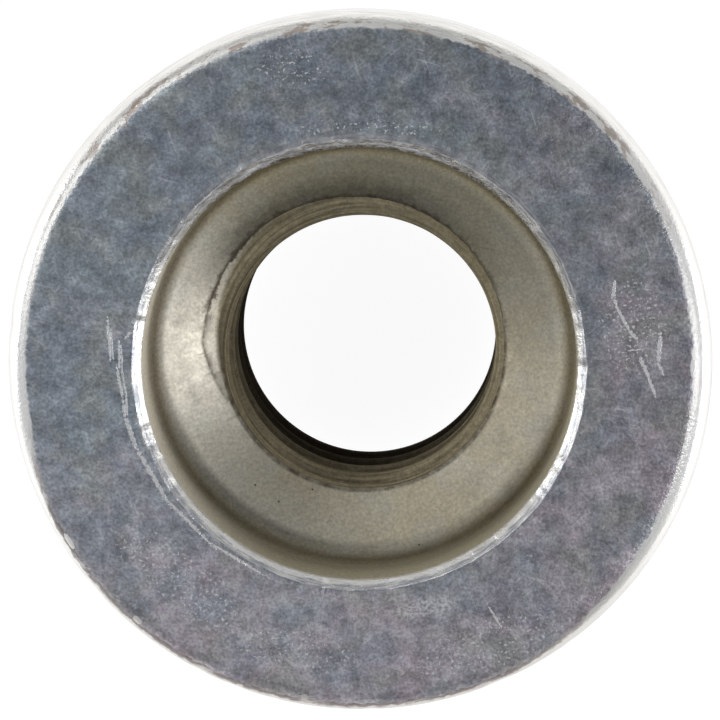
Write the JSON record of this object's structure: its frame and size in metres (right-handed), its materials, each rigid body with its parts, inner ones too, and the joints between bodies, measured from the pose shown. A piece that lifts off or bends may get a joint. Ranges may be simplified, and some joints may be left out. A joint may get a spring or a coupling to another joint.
{
  "type": "threaded nut",
  "caption": "Hexagon flange nut: a round flange with a rounded rim, a bearing face recessed around the threaded bore, and a chamfered hexagon behind it.",
  "frame": {"origin": "centre of the hexagon end face, on the thread axis", "axes": "+Z along the thread axis towards the bearing face of the flange, +X square to a flat of the hexagon"},
  "size_m": [0.0172, 0.0172, 0.01],
  "materials": {
    "zinc_steel": "satin zinc plate with a cloudy blue-grey passivated face, bright worn edges and a dull khaki recess"
  },
  "bodies": {
    "root": {"nut": "zinc_steel"}
  },
  "joints": []
}
